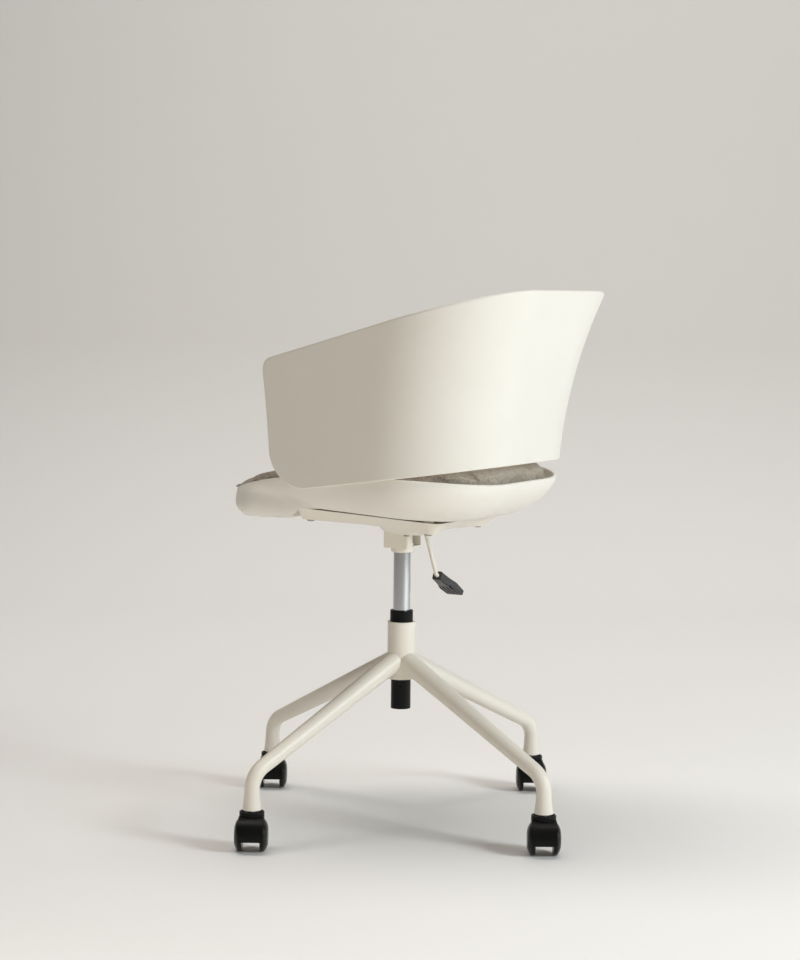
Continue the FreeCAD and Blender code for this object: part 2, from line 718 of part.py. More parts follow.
def make_paddle():
    """The finger paddle: a widening grip with grooves moulded into its underside."""
    body = Part.makeLoft([paddle_section(0, PADDLE_NECK_WIDTH, PADDLE_NECK_THICK),
                          paddle_section(PADDLE_WAIST_AT, PADDLE_WAIST_WIDTH, PADDLE_NECK_THICK),
                          paddle_section(PADDLE_PALM_AT, PADDLE_TIP_WIDTH, PADDLE_PALM_THICK),
                          paddle_section(PADDLE_LENGTH, PADDLE_TIP_WIDTH, PADDLE_TIP_THICK)], True, True)
    socket = Part.makeCylinder(LEVER_DIA / 2, PADDLE_SOCKET, Vector(0, 0, 0), X_AXIS)
    body = body.cut(socket)
    for i in range(PADDLE_GROOVES):
        centre = (i - (PADDLE_GROOVES - 1) / 2) * PADDLE_GROOVE_PITCH
        low = Vector(PADDLE_GROOVE_START, centre - PADDLE_GROOVE_WIDTH / 2, -PADDLE_NECK_THICK)
        groove = Part.makeBox(PADDLE_LENGTH - PADDLE_GROOVE_START - PADDLE_GROOVE_END, PADDLE_GROOVE_WIDTH,
                              PADDLE_NECK_THICK - PADDLE_TIP_THICK / 2 + PADDLE_GROOVE_DEPTH, low)
        body = body.cut(groove)
    corner = lever_corners()[2]
    grip = math.radians(PADDLE_ANGLE)
    start = corner + Vector(-math.cos(grip), 0, -math.sin(grip)) * paddle_offset
    body.Placement = Placement(start, Rotation(Y_AXIS, 180 - PADDLE_ANGLE).multiply(Rotation(X_AXIS, 180)))
    return body


# Seat plate

def plate_outline(grow, height, side_waist, rear_waist):
    """The plate's rounded outline at one height, grown by an allowance, with drawn-in edges."""
    x = PLATE_HALF_WIDTH + grow
    front = -PLATE_FRONT - grow
    back = PLATE_BACK + grow
    middle = (front + back) / 2
    corners = [Vector(x, front, height), Vector(x - side_waist, middle, height), Vector(x, back, height),
               Vector(0, back - rear_waist, height), Vector(-x, back, height),
               Vector(-x + side_waist, middle, height), Vector(-x, front, height)]
    corner = PLATE_CORNER + grow
    waist = PLATE_WAIST_RADIUS
    return rounded_wire(corners, [corner, waist, corner, waist, corner, waist, corner])


def tray(inset, low, high):
    """A plate-shaped block whose sides slope in to a waisted floor."""
    floor = plate_outline(-PLATE_DRAFT - inset, low, PLATE_SIDE_WAIST, PLATE_REAR_WAIST)
    rim = plate_outline(-inset, high, PLATE_RIM_WAIST, PLATE_RIM_WAIST)
    return Part.makeLoft([floor, rim], True, True)


def dish(inset, low, high):
    """The cone pressed down from the plate's floor to the bracket."""
    centre = Vector(0, DISH_CENTRE, low)
    return Part.makeCone(DISH_BOTTOM_RADIUS - inset, DISH_TOP_RADIUS - inset, high - low, centre)


def screw_places():
    """The four screws' places on the plate."""
    return [(side * SCREW_SIDE, y) for side in (-1, 1) for y in (-SCREW_FRONT, SCREW_BACK)]


def stiffener_bolt_places():
    """The two bolts' places in the dish's floor, behind the bracket."""
    return [(side * STIFFENER_BOLT_X, STIFFENER_BOLT_Y) for side in (-1, 1)]


def make_plate():
    """The pressed steel plate: sloping walls, flat floor and a dish welded to the bracket."""
    rim_top = plate_floor + PLATE_RIM
    floor_top = plate_floor + PLATE_SHEET
    plate = tray(0, plate_floor, rim_top).fuse(dish(0, bracket_top, floor_top))
    plate = plate.cut(tray(PLATE_WALL_SET, floor_top, rim_top + PLATE_SHEET))
    plate = plate.cut(dish(PLATE_SHEET, bracket_top + PLATE_SHEET, floor_top + PLATE_SHEET))
    for x, y in screw_places():
        plate = plate.cut(cylinder(SCREW_DIA + 2 * FACE_GAP, 0, HUGE, x, y))
    for x, y in stiffener_bolt_places():
        plate = plate.cut(cylinder(STIFFENER_BOLT_DIA + 2 * FACE_GAP, 0, HUGE, x, y))
    return tilted(plate.removeSplitter())


def make_stiffener():
    """The disc bolted onto the dish's floor, over the bracket, to spread the sitter's load."""
    low = bracket_top + PLATE_SHEET
    width = 2 * (DISH_BOTTOM_RADIUS - PLATE_SHEET - SIDE_GAP)
    disc = cylinder(width, low, low + STIFFENER_THICK, 0, DISH_CENTRE)
    for x, y in stiffener_bolt_places():
        disc = disc.cut(cylinder(STIFFENER_BOLT_DIA, 0, HUGE, x, y))
    return tilted(disc)


def make_stiffener_bolts():
    """Two bolts up through the dish's floor into the stiffener."""
    bottom = bracket_top - STIFFENER_BOLT_HEAD
    high = bracket_top + PLATE_SHEET + STIFFENER_THICK
    bolts = []
    for x, y in stiffener_bolt_places():
        bolt = cylinder(STIFFENER_BOLT_HEAD_DIA, bottom, bracket_top, x, y)
        bolt = bolt.fuse(cylinder(STIFFENER_BOLT_DIA, bracket_top, high, x, y)).removeSplitter()
        socket = hexagon(STIFFENER_BOLT_SOCKET, STIFFENER_BOLT_SOCKET_DEPTH, Vector(x, y, bottom))
        bolts.append(tilted(bolt.cut(socket)))
    return Part.makeCompound(bolts)


def make_plate_screws():
    """Four flanged screws up through the plate into the seat's inserts."""
    screws = []
    for x, y in screw_places():
        head = cylinder(SCREW_HEAD_DIA, plate_floor - SCREW_HEAD, plate_floor, x, y)
        lower = [edge for edge in head.Edges if edge.BoundBox.ZMax < plate_floor - SCREW_HEAD + PICK]
        head = head.makeFillet(SCREW_HEAD_ROUND, lower)
        shank = cylinder(SCREW_DIA, plate_floor, plate_floor + PLATE_SHEET + INSERT_LENGTH, x, y)
        screw = head.fuse(shank).removeSplitter()
        socket = hexagon(SCREW_SOCKET, SCREW_SOCKET_DEPTH, Vector(x, y, plate_floor - SCREW_HEAD))
        screws.append(tilted(screw.cut(socket)))
    return Part.makeCompound(screws)


def make_inserts():
    """Four brass inserts in the seat's bosses."""
    low = plate_floor + PLATE_SHEET + RUN_FIT
    inserts = []
    for x, y in screw_places():
        insert = cylinder(INSERT_DIA, low, low + INSERT_LENGTH, x, y)
        inserts.append(tilted(insert.cut(cylinder(SCREW_DIA, low, low + INSERT_LENGTH, x, y))))
    return Part.makeCompound(inserts)


# Seat shell and cushion

def belly(share, power):
    """How far a superellipse has turned in, from 0 to 1, at a share of its depth."""
    share = min(max(share, 0.0), 1.0)
    return 1 - (1 - share ** power) ** (1 / power)


def bowl(inset):
    """The dish's solid, with its wall moved in by inset, far above the rim."""
    sections = []
    for height in BOWL_LEVELS:
        rear = REAR_INSET * belly((REAR_LEVEL - height) / REAR_BELLY, REAR_POWER)
        nose = NOSE_INSET * belly((NOSE_LEVEL - height) / NOSE_BELLY, NOSE_POWER)
        half = SEAT_HALF_WIDTH - (rear + nose) / 2 - inset
        share = half / SEAT_HALF_WIDTH
        front = -SEAT_FRONT + nose + inset
        back = SEAT_BACK - rear - inset
        level = deck + height
        corners = [Vector(half, front, level), Vector(half, back, level),
                   Vector(-half, back, level), Vector(-half, front, level)]
        front_round = SEAT_FRONT_CORNER * share
        back_round = SEAT_BACK_CORNER * share
        sections.append(rounded_wire(corners, [front_round, back_round, back_round, front_round]))
    return Part.makeLoft(sections, True)


def above_underside(offset):
    """Everything above the seat's underside, raised by an offset: front lip, ramp and falling keel."""
    lip_end = -SEAT_FRONT + LIP_DEPTH - offset
    ramp_end = lip_end + LIP_RAMP
    start = -SEAT_FRONT - LIP_DEPTH
    far = SEAT_BACK + LIP_DEPTH
    far_height = UNDERSIDE_MIDDLE - UNDERSIDE_FALL * (far - UNDERSIDE_MIDDLE_Y)
    heights = [(start, -LIP_DROP), (lip_end, -LIP_DROP), (ramp_end, UNDERSIDE_FRONT),
               (UNDERSIDE_MIDDLE_Y, UNDERSIDE_MIDDLE), (far, far_height)]
    points = [(y, deck + height + offset) for y, height in heights] + [(far, HUGE), (start, HUGE)]
    return side_slab(points, [0, LIP_ROUND, LIP_ROUND, UNDERSIDE_ROUND, 0, 0, 0])


def above_floor(offset):
    """Everything above the plate's tilted level under the seat, raised by an offset."""
    return tilted(box((-HUGE, -HUGE, deck + offset), (HUGE, HUGE, deck + HUGE)))


def rim_line():
    """The rim's (y, z) line from the nose to the back."""
    heights = [(-SEAT_FRONT - RIM_RUNOUT, RIM_FRONT - RIM_FRONT_FALL),
               (-SEAT_FRONT + RIM_FRONT_SETBACK, RIM_FRONT),
               (RIM_CORNER_Y, RIM_CORNER), (RIM_ARM_Y, RIM_ARM), (0, RIM_SIDE), (RIM_REAR_Y, RIM_REAR),
               (SEAT_BACK, RIM_BACK), (SEAT_BACK + RIM_RUNOUT, RIM_BACK - RIM_BACK_FALL)]
    return [(y, deck + height) for y, height in heights]


def pocket(grow):
    """The plate's pocket in the seat's underside, grown all round by an allowance."""
    low = deck - REAR_BELLY
    outline = plate_outline(POCKET_GAP + grow, low, PLATE_RIM_WAIST, PLATE_RIM_WAIST)
    return tilted(Part.Face(outline).extrude(Vector(0, 0, REAR_BELLY + grow)))


def make_seat_shell():
    """The moulded dish with its plate pocket, screw bosses and floor ribs."""
    rim = side_region(rim_line(), deck - REAR_BELLY, HUGE)
    shell = bowl(0).common(rim).common(above_underside(0))
    hollow = bowl(SEAT_WALL).common(above_underside(SEAT_WALL)).cut(pocket(SEAT_WALL))
    shell = shell.cut(hollow).Solids[0]
    top = [face for face in shell.Faces if isinstance(face.Surface, Part.SurfaceOfExtrusion)]
    shell = rounded_rim(shell, top, SEAT_RIM_ROUND).cut(pocket(0))
    ribs = []
    for i in range(-RIBS_EACH_SIDE, RIBS_EACH_SIDE + 1):
        near = i * RIB_PITCH - RIB_THICK / 2
        far = near + RIB_THICK
        ribs.append(box((near, -SEAT_FRONT, 0), (far, SEAT_BACK, HUGE)))
        ribs.append(box((-SEAT_HALF_WIDTH, near, 0), (SEAT_HALF_WIDTH, far, HUGE)))
    floor_band = hollow.cut(above_floor(SEAT_WALL + RIB_HEIGHT))
    grid = ribs[0].fuse(ribs[1:]).common(floor_band)
    boss_low = plate_floor + PLATE_SHEET + RUN_FIT
    boss_high = deck + SEAT_WALL + RIB_HEIGHT
    bosses = [tilted(cylinder(BOSS_DIA, boss_low, boss_high, x, y)) for x, y in screw_places()]
    under_board = bowl(0).common(above_underside(0)).cut(above_floor(SEAT_WALL + RIB_HEIGHT))
    for x, y in cushion_screw_places():
        bosses.append(cylinder(CUSHION_SCREW_BOSS_DIA, 0, HUGE, x, y).common(under_board))
    shell = shell.fuse([grid] + bosses)
    for x, y in screw_places():
        shell = shell.cut(tilted(cylinder(INSERT_DIA, boss_low, boss_low + INSERT_LENGTH, x, y)))
    for x, y in cushion_screw_places():
        shell = shell.cut(cylinder(CUSHION_SCREW_RECESS_DIA, 0, deck + CUSHION_SCREW_LEVEL, x, y))
        shell = shell.cut(cylinder(CUSHION_SCREW_DIA + 2 * FACE_GAP, 0, HUGE, x, y))
    for screw in back_screw_shapes(FACE_GAP):
        shell = shell.cut(screw)
    return shell.removeSplitter()


def make_board():
    """The cushion's moulded board on the floor ribs."""
    low = SEAT_WALL + RIB_HEIGHT
    board = bowl(SEAT_WALL + BOARD_GAP).common(above_floor(low)).cut(above_floor(low + BOARD_THICK))
    board = board.cut(box((-HUGE, -HUGE, 0), (HUGE, -SEAT_FRONT + BOARD_FRONT_GAP, HUGE)))
    for shank in cushion_screw_shanks():
        board = board.cut(shank)
    return board


def cushion_screw_places():
    """The two cushion screws' places near the front corners."""
    return [(side * CUSHION_SCREW_X, CUSHION_SCREW_Y) for side in (-1, 1)]


def cushion_screw_shanks():
    """The shanks, from their heads up into the board."""
    low = deck + CUSHION_SCREW_LEVEL
    high = deck - CUSHION_SCREW_Y * tilt_slope + SEAT_WALL + RIB_HEIGHT + CUSHION_SCREW_BITE
    return [cylinder(CUSHION_SCREW_DIA, low, high, x, y) for x, y in cushion_screw_places()]


def make_cushion_screws():
    """Two recessed screws that hold the cushion's board from below."""
    low = deck + CUSHION_SCREW_LEVEL
    screws = []
    for place, shank in zip(cushion_screw_places(), cushion_screw_shanks()):
        bottom = low - CUSHION_SCREW_HEAD
        head = cylinder(CUSHION_SCREW_HEAD_DIA, bottom, low, *place)
        socket = hexagon(CUSHION_SCREW_SOCKET, CUSHION_SCREW_SOCKET_DEPTH, Vector(*place, bottom))
        screws.append(head.fuse(shank).removeSplitter().cut(socket))
    return Part.makeCompound(screws)


def crown_section(y, level):
    """An upright slice across the pad's crown, straight below and arched on top."""
    half = SEAT_HALF_WIDTH
    edge = level - PAD_CROWN
    low = deck - REAR_BELLY
    arch = Part.Arc(Vector(half, y, edge), Vector(0, y, level), Vector(-half, y, edge)).toShape()
    corners = [Vector(-half, y, edge), Vector(-half, y, low), Vector(half, y, low), Vector(half, y, edge)]
    edges = [arch]
    for first, second in zip(corners, corners[1:]):
        edges.append(Part.LineSegment(first, second).toShape())
    return Part.Wire(edges)


def faces_up(face):
    """Whether a face looks up at its middle."""
    low_u, high_u, low_v, high_v = face.ParameterRange
    return face.normalAt((low_u + high_u) / 2, (low_v + high_v) / 2).z > LEVEL_ENOUGH


def make_pad():
    """The upholstered pad: crowned on top, with sides that draw in to the dish's floor."""
    sections = []
    for y, level in rim_line():
        share = (y + SEAT_FRONT) / (SEAT_FRONT + SEAT_BACK)
        sections.append(crown_section(y, level + PAD_RISE_FRONT + (PAD_RISE_BACK - PAD_RISE_FRONT) * share))
    crown = Part.makeLoft(sections, True)
    floor = above_floor(SEAT_WALL + RIB_HEIGHT + BOARD_THICK + SOFT_GAP)
    pad = bowl(SEAT_WALL + PAD_GAP).common(crown).common(floor).Solids[0]
    return rounded_rim(pad, filter(faces_up, pad.Faces), PAD_EDGE_ROUND)


# Back shell

def flare(height):
    """The share of the back's full flare at a height above the deck."""
    rise = (height - BACK_FLARE_LEVEL) / BACK_FLARE_HEIGHT
    return BACK_FLARE_LEAN * rise + (1 - BACK_FLARE_LEAN) * rise ** 2


def back_half_width(height):
    """The shell's outer half width at a height above the deck."""
    return SEAT_HALF_WIDTH + BACK_SEAT_GAP + BACK_WALL + BACK_FLARE_SIDE * flare(height)


def back_section(height):
    """The shell's level section: two flat arms, round corners and a flat back."""
    half = back_half_width(height)
    rear = BACK_DEPTH + BACK_FLARE_REAR * flare(height)
    front = -2 * BACK_FRONT_EDGE
    level = deck + height
    inner = half - BACK_WALL
    outline = [(half, front), (half, rear), (-half, rear), (-half, front),
               (-inner, front), (-inner, rear - BACK_WALL), (inner, rear - BACK_WALL), (inner, front)]
    tight = BACK_CORNER - BACK_WALL
    radii = [0, BACK_CORNER, BACK_CORNER, 0, 0, tight, tight, 0]
    return rounded_wire([Vector(x, y, level) for x, y in outline], radii)


def back_outline():
    """The shell's side view: sloping top, raked front edge and rising lower edge."""
    top_front = -BACK_FRONT_EDGE
    bottom_front = top_front + BACK_FRONT_RAKE * (BACK_ARM_TOP - BACK_BOTTOM_AT_AXIS)
    far = 2 * BACK_DEPTH
    top_far = BACK_ARM_TOP + BACK_TOP_SLOPE * (far - top_front)
    points = [(bottom_front, BACK_BOTTOM_AT_AXIS + BACK_BOTTOM_SLOPE * bottom_front),
              (far, BACK_BOTTOM_AT_AXIS + BACK_BOTTOM_SLOPE * far),
              (far, top_far), (top_front, BACK_ARM_TOP)]
    radii = [BACK_BOTTOM_FRONT_ROUND, 0, 0, BACK_TOP_FRONT_ROUND]
    return side_slab([(y, deck + z) for y, z in points], radii)


def faces_sideways(face):
    """Whether a face of the back lies on its side outline, and so is part of the rim."""
    flat = isinstance(face.Surface, Part.Plane) and abs(face.Surface.Axis.x) < TINY
    return flat or isinstance(face.Surface, Part.Cylinder)


def make_back_shell():
    """The wrap-round back and arms, one moulding of even wall."""
    low = BACK_FLARE_LEVEL - BACK_LOFT_BELOW
    step = (BACK_LOFT_BELOW + BACK_FLARE_HEIGHT + BACK_LOFT_ABOVE) / BACK_LOFT_STEPS
    sections = [back_section(low + i * step) for i in range(BACK_LOFT_STEPS + 1)]
    shell = Part.makeLoft(sections, True).common(back_outline()).Solids[0]
    shell = rounded_rim(shell, filter(faces_sideways, shell.Faces), BACK_EDGE_ROUND)
    for screw in back_screw_shapes(0):
        shell = shell.cut(screw)
    return shell


def back_screw_shapes(clear):
    """Four countersunk screws from inside the seat's wall into the shell, grown by a clearance."""
    head_radius = BACK_SCREW_HEAD_DIA / 2 + clear
    shank_radius = BACK_SCREW_DIA / 2 + clear
    start = SEAT_HALF_WIDTH - SEAT_WALL + SOFT_GAP
    screws = []
    for y, height in BACK_SCREW_PLACES:
        end = back_half_width(height) - BACK_WALL + BACK_SCREW_BITE
        place = Vector(start, y, deck + height)
        head = Part.makeCone(head_radius, shank_radius, BACK_SCREW_HEAD, place, X_AXIS)
        shank = Part.makeCylinder(shank_radius, end - start, place, X_AXIS)
        screw = head.fuse(shank).removeSplitter()
        screws += [screw, screw.mirror(Vector(0, 0, 0), X_AXIS)]
    return screws


def make_back_screws():
    """The screws as one group."""
    return Part.makeCompound(back_screw_shapes(0))


# Build

os.makedirs("parts", exist_ok=True)

save("base_hub", make_hub())
leg = make_leg()
sleeve = make_sleeve()
stem = make_stem()
hood = make_hood()
axle = make_axle()
wheels = {"left": make_wheel(1), "right": make_wheel(-1)}
for number in range(LEG_COUNT):
    angle = LEG_FIRST_ANGLE + 360 / LEG_COUNT * number
    tag = "_" + str(number + 1)
    save("leg" + tag, around_column(leg, angle))
    save("stem_sleeve" + tag, around_column(sleeve, angle))
    save("castor_stem" + tag, castor_placed(stem, number))
    save("castor_hood" + tag, castor_placed(hood, number))
    save("castor_axle" + tag, castor_placed(axle, number))
    for side, wheel in wheels.items():
        save("castor_wheel_" + side + tag, castor_placed(wheel, number))

save("lift_outer_tube", make_outer_tube())
save("lift_guide_bush", make_bush())
save("lift_thrust_bearing", make_thrust_bearing())
save("lift_piston_rod", make_piston_rod())
save("lift_rod_clip", make_rod_clip())
save("lift_piston", make_piston())
save("lift_bump_stop", make_bumper())
save("lift_chrome_tube", make_chrome_tube())
save("lift_rod_guide", make_rod_guide())
save("lift_valve_pin", make_valve_pin())

save("taper_socket", make_socket())
save("swivel_bracket", make_bracket())
save("lever_pivot_pin", make_lever_pin())
save("lever_rod", make_lever_rod())
save("lever_paddle", make_paddle())

save("seat_plate", make_plate())
save("dish_stiffener", make_stiffener())
save("stiffener_bolts", make_stiffener_bolts())
save("plate_screws", make_plate_screws())
save("seat_inserts", make_inserts())
save("seat_shell", make_seat_shell())
save("cushion_board", make_board())
save("cushion_screws", make_cushion_screws())
save("seat_pad", make_pad())
save("back_shell", make_back_shell())
save("back_screws", make_back_screws())
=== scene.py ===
"""Looks for the tub office chair.

Materials for every piece, the seat's dish and the lever's grip as they show, the cushion's
swelled cover, a studio with soft light, and the photograph's camera. Lengths are in metres.
"""

import json
import math

import bmesh
import bpy
from mathutils import Matrix, Vector, noise
from mathutils.bvhtree import BVHTree


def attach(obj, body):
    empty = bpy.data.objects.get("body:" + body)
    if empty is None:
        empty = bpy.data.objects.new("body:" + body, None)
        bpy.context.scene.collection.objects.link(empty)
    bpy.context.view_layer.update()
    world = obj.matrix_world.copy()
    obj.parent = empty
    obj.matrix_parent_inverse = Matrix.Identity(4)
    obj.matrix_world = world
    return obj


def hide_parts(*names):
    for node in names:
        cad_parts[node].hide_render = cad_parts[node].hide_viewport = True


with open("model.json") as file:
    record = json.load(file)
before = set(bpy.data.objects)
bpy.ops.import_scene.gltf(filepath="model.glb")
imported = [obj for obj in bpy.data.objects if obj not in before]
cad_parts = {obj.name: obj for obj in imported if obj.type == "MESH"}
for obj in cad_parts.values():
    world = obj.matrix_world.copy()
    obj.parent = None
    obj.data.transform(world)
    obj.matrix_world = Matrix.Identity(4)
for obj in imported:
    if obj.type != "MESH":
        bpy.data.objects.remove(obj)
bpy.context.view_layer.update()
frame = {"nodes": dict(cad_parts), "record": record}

# Camera: angles in degrees, the bearing from +X towards +Y, lens and sensor in millimetres
CAMERA_DISTANCE = 3.662
CAMERA_HEIGHT = 0.8643
CAMERA_BEARING = 30.0
CAMERA_PITCH = 4.77
CAMERA_YAW = 0.076
CAMERA_ROLL = 0.6
CAMERA_LENS = 84.41
CAMERA_SENSOR = 36.0

# Backdrop: the wall stands farther off than the camera does in a view from any side
WALL_BEHIND = 4.6
WALL_CURVE = 2.2
WALL_HEIGHT = 5.0
STAGE_WIDTH = 14.0
FLOOR_FRONT = 6.0
CURVE_STEPS = 24
# Backdrop colour: the floor's tint at the bottom, darkening with height to the wall's tint as
# painted shade, with a slow random drift
FLOOR_TINT = (0.900, 0.887, 0.876)
WALL_SHADE_TINT = (0.725, 0.709, 0.685)
WALL_SHADE_HEIGHT = 0.7
TINT_DRIFT = 0.03

# Softboxes: place and aim are offsets to the right, towards the camera and up, as for in_view
CHAIR_MIDDLE = (0.0, 0.0, 0.5)
SOFTBOXES = {
    # From the right and above: it lights the back's outer face and throws the shadows
    "key": dict(place=(3.1, 1.85, 1.8), aim=CHAIR_MIDDLE, size=(1.1, 1.1), power=89.0,
                tint=(0.885, 0.97, 1.0)),
    # Broad and weak, from the camera's side
    "fill": dict(place=(-1.2, 4.2, 0.5), aim=CHAIR_MIDDLE, size=(4.5, 1.0), power=8.0,
                 tint=(1.0, 0.84, 0.66), mirrored=False),
    # Overhead, for the floor in front
    "top": dict(place=(-0.5, -0.2, 4.8), aim=(-0.5, 2.2, 0.0), size=(4.5, 1.6), power=131.0,
                tint=(1.0, 0.955, 0.90)),
    # A pale strip at the right for the chrome and the right-hand edges
    "card": dict(place=(3.4, 0.1, 0.55), aim=CHAIR_MIDDLE, size=(2.4, 0.9), power=12.0,
                 tint=(0.95, 0.98, 1.0)),
    # Near the floor, as a bounce under the seat
    "bounce": dict(place=(-0.2, 1.3, 0.2), aim=CHAIR_MIDDLE, size=(2.2, 0.35), power=3.3,
                   tint=(1.0, 0.93, 0.84), mirrored=False),
    # Turned away from the chair, for the wall and the floor before it
    "wash": dict(place=(0.8, -1.7, 3.4), aim=(0.8, -4.6, 1.7), size=(6.0, 0.6), power=70.0,
                 tint=(1.0, 0.975, 0.94)),
}
ROOM_TINT = (1.0, 0.91, 0.83, 1.0)
ROOM_STRENGTH = 0.09

# Pairs below are the start and end of an ease: nothing moves at the first, all of it at the second.
# Seat's core in plan: the nose's wall runs round it
NOSE_CORE_SIDE = 0.090
NOSE_CORE_FRONT = -0.100
NOSE_WALL = (0.080, 0.104)
# Seat's rim at the nose, which rises towards the back
RIM_FRONT = -0.238
RIM_FRONT_LEVEL = 0.5406
RIM_SLOPE = 0.25

# Cushion cover: its mesh
COVER_VOXEL = 0.005
COVER_SHRINK = 0.005
SOFTEN_FACTOR = 0.5
SOFTEN_PASSES = 12
# Its simulation: travel is capped, and faces that look down and the lowest band are held
COVER_CAP = 0.011
COVER_FRAMES = 20
COVER_PRESSURE = 4.0
COVER_SLACK = 0.03
CLOTH_QUALITY = 5
CLOTH_STIFFNESS = 10.0
CLOTH_BENDING = 0.8
HELD_BAND = 0.008
LOOKS_DOWN = -0.6
# Its fit in the solid's space: proud on faces that look up, clear of the sides
COVER_PROUD = 0.0015
COVER_CLEAR = 0.0004
LOOKS_UP = 0.7
# Its unevenness: features to the metre, and their depth
RIPPLES = ((22.0, 0.0009), (70.0, 0.0003))
# Its edge over the rim at the nose, and its front, drawn out and down to close the pocket
OVERHANG = 0.006
OVERHANG_ENDS = (-0.110, -0.180)
OVERHANG_RISE = (-0.001, 0.003)
FRONT_FILL = 0.0172
FRONT_DROP = 0.009
FRONT_ENDS = (-0.150, -0.205)
FRONT_RISE = (0.034, 0.012)
FRONT_TURN = (0.75, 1.0)

# Seat dish as it shows: a nose that grows fuller with depth below a level
NOSE_LEVEL = 0.544
NOSE_SLOPE = 0.25
NOSE_CURVE = 7.5
NOSE_ENDS = (-0.085, -0.150)
# A skirt that slides back beside the plate
SKIRT_SLIDE = 0.060
SKIRT_SIDES = (0.163, 0.192)
SKIRT_START = (-0.168, -0.142)
SKIRT_END = (-0.030, -0.125)
SKIRT_LEVELS = (0.562, 0.523)
# A lip that sinks under the nose
LIP_SINK = 0.005
LIP_SIDES = (0.165, 0.110)
LIP_END = (-0.129, -0.146)
LIP_LEVELS = (0.516, 0.503)
# An edge that lifts over the gap to the plate
EDGE_LIFT = 0.0028
EDGE_START = (-0.128, -0.112)
EDGE_END = (0.060, -0.020)
EDGE_SIDES = (0.105, 0.125)
EDGE_LEVELS = (0.550, 0.526)

# Lever's grip as it shows: a share shorter than its solid, along its slope
GRIP_SLOPE = math.radians(29.0)
GRIP_CUT = 0.20

# Reshaped pieces: shading breaks at this angle, and points this near are one
SHARP_EDGE = math.radians(35.0)
WELD = 1e-6

# Blender's wave texture turns by so many radians over a unit of its scale
WAVE_RADIANS = 20
BEVEL_SAMPLES = 4

# Directions seen from the camera, along the floor
bearing = math.radians(CAMERA_BEARING)
to_camera = Vector((math.cos(bearing), math.sin(bearing), 0.0))
to_right = Vector((-math.sin(bearing), math.cos(bearing), 0.0))
up = Vector((0.0, 0.0, 1.0))


def in_view(right, near, height):
    """A point by its offsets to the right of, towards the camera from, and above the origin."""
    return to_right * right + to_camera * near + up * height


def ease(value, start, end):
    """From 0 at start to 1 at end, level at both."""
    share = min(max((value - start) / (end - start), 0.0), 1.0)
    return share * share * (3.0 - 2.0 * share)


def place_in_scene(name, data):
    """An object for a mesh, lamp or camera, in the scene."""
    made = bpy.data.objects.new(name, data)
    bpy.context.scene.collection.objects.link(made)
    return made


# Materials

def socket_label(word):
    """A node socket's label for a keyword, such as Specular IOR Level."""
    return word.replace("_", " ").title().replace("Ior", "IOR")


class Finish:
    """A Principled material, with short calls for the detail that varies over its surface."""

    def __init__(self, name, **sockets):
        self.material = bpy.data.materials.new(name)
        self.material.use_nodes = True
        self.nodes = self.material.node_tree.nodes
        self.links = self.material.node_tree.links
        self.shader = self.nodes["Principled BSDF"]
        self.place = self.add("ShaderNodeTexCoord").outputs["Object"]
        self.normal = None
        for word, value in sockets.items():
            self.shader.inputs[socket_label(word)].default_value = value

    def add(self, kind, **inputs):
        """A node with values or links on its named inputs."""
        node = self.nodes.new(kind)
        for word, value in inputs.items():
            self.feed(node.inputs[socket_label(word)], value)
        return node

    def feed(self, socket, value):
        """Set a socket's value, or link another node's output to it."""
        if isinstance(value, bpy.types.NodeSocket):
            self.links.new(value, socket)
        else:
            socket.default_value = value

    def grain(self, per_metre, detail=2.0, roughness=0.5, stretch=(1.0, 1.0, 1.0)):
        """Noise with so many features to the metre, from 0 to 1."""
        mapping = self.add("ShaderNodeMapping", Vector=self.place, Scale=stretch)
        texture = self.add("ShaderNodeTexNoise", Vector=mapping.outputs["Vector"],
                           Scale=per_metre, Detail=detail, Roughness=roughness)
        return texture.outputs["Fac"]

    def threads(self, per_metre, direction, distortion=0.0):
        """Round threads across a direction (X, Y or Z), so many to the metre, from 0 to 1."""
        texture = self.add("ShaderNodeTexWave", Vector=self.place,
                           Scale=per_metre / WAVE_RADIANS * math.tau,
                           Distortion=distortion, Detail=1.0, Detail_Scale=2.0)
        texture.bands_direction = direction
        return texture.outputs["Fac"]

    def span(self, value, low, high, start=0.3, end=0.7):
        """A value's start to end range stretched over low to high."""
        node = self.nodes.new("ShaderNodeMapRange")
        for socket, given in zip(node.inputs, (value, start, end, low, high)):
            self.feed(socket, given)
        return node.outputs["Result"]

    def combined(self, first, second, operation="ADD"):
        """Two values added, or joined by another operation."""
        node = self.nodes.new("ShaderNodeMath")
        node.operation = operation
        self.feed(node.inputs[0], first)
        self.feed(node.inputs[1], second)
        return node.outputs["Value"]

    def colour(self, value, first, second, start=0.3, end=0.7):
        """Base colour that goes from first to second as a value rises."""
        ramp = self.add("ShaderNodeValToRGB", Fac=value)
        stops = zip(ramp.color_ramp.elements, (start, end), (first, second))
        for stop, position, tint in stops:
            stop.position = position
            stop.color = (*tint, 1.0)
        self.feed(self.shader.inputs["Base Color"], ramp.outputs["Color"])

    def roughness(self, value, low, high):
        """Roughness that varies with a value."""
        self.feed(self.shader.inputs["Roughness"], self.span(value, low, high))

    def round_edges(self, radius):
        """Sharp edges that catch the light as if rounded."""
        bevel = self.nodes.new("ShaderNodeBevel")
        bevel.samples = BEVEL_SAMPLES
        bevel.inputs["Radius"].default_value = radius
        self.normal = bevel.outputs["Normal"]
        self.feed(self.shader.inputs["Normal"], self.normal)

    def relief(self, value, depth, strength=1.0):
        """Bumps of a real depth in metres, on top of any set before."""
        bump = self.add("ShaderNodeBump", Strength=strength, Distance=depth, Height=value)
        if self.normal:
            self.feed(bump.inputs["Normal"], self.normal)
        self.normal = bump.outputs["Normal"]
        self.feed(self.shader.inputs["Normal"], self.normal)


